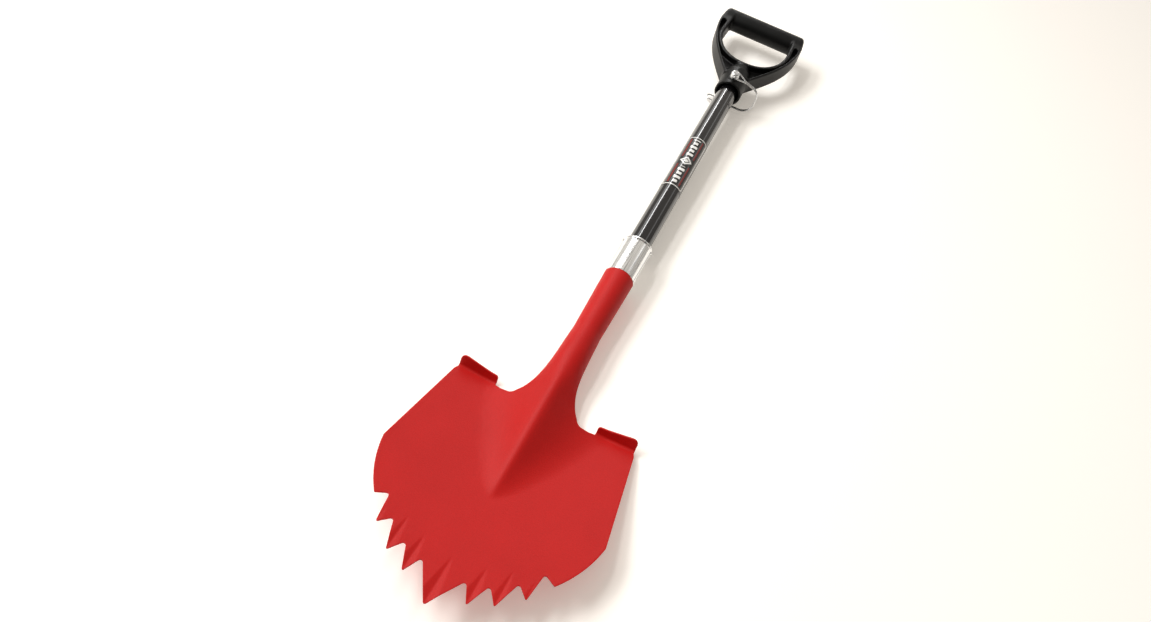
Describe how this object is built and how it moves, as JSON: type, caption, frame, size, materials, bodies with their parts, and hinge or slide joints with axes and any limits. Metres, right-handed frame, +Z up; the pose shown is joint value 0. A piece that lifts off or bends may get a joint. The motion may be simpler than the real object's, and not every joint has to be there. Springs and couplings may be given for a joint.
{
  "type": "detecting shovel",
  "caption": "Long-handled digging shovel with a serrated red blade, foot steps, black tube shaft and a D-handle held by a clip-locked quick-release pin.",
  "frame": {"origin": "centre of the bounding box on the floor, with the shovel lying on its back", "axes": "+X runs from the blade to the handle, +Z is up from the floor and is the side of the blade that the frog stands up on"},
  "size_m": [1.1291, 0.264, 0.0702],
  "materials": {
    "red_coat": "matt fine-textured powder coat",
    "bright_steel": "polished",
    "black_gloss": "gloss enamel",
    "print_film": "gloss printed film",
    "black_nylon": "satin moulded, fine grain",
    "inner_plastic": "moulded",
    "zinc_plate": "bright zinc plate"
  },
  "bodies": {
    "root": {"blade": "red_coat", "socket_back": "red_coat", "socket_rivets": "red_coat", "collar": "bright_steel", "reducer_sleeve": "inner_plastic", "foot_plug": "inner_plastic", "shaft": "black_gloss", "label": "print_film", "pin_sleeve": "zinc_plate", "end_plug": "inner_plastic", "d_handle": "black_nylon"},
    "pin": {"pin_shank": "zinc_plate", "pin_head": "zinc_plate"},
    "clip": {"wire_clip": "zinc_plate"}
  },
  "joints": [
    {"name": "pin_pull", "type": "slide", "parent": "root", "child": "pin", "axis": [-0.0209, 0, 0.9998], "range_m": [0, 0.06]},
    {"name": "clip_swing", "type": "hinge", "parent": "pin", "child": "clip", "pos_m": [0.36526, 0, 0.06604], "axis": [-0.9998, 0, -0.0209], "range_deg": [0, 170]}
  ],
  "couplings": [
    {"joint": "pin_pull", "follows": "clip_swing", "m_per_rad": 0.0202}
  ]
}
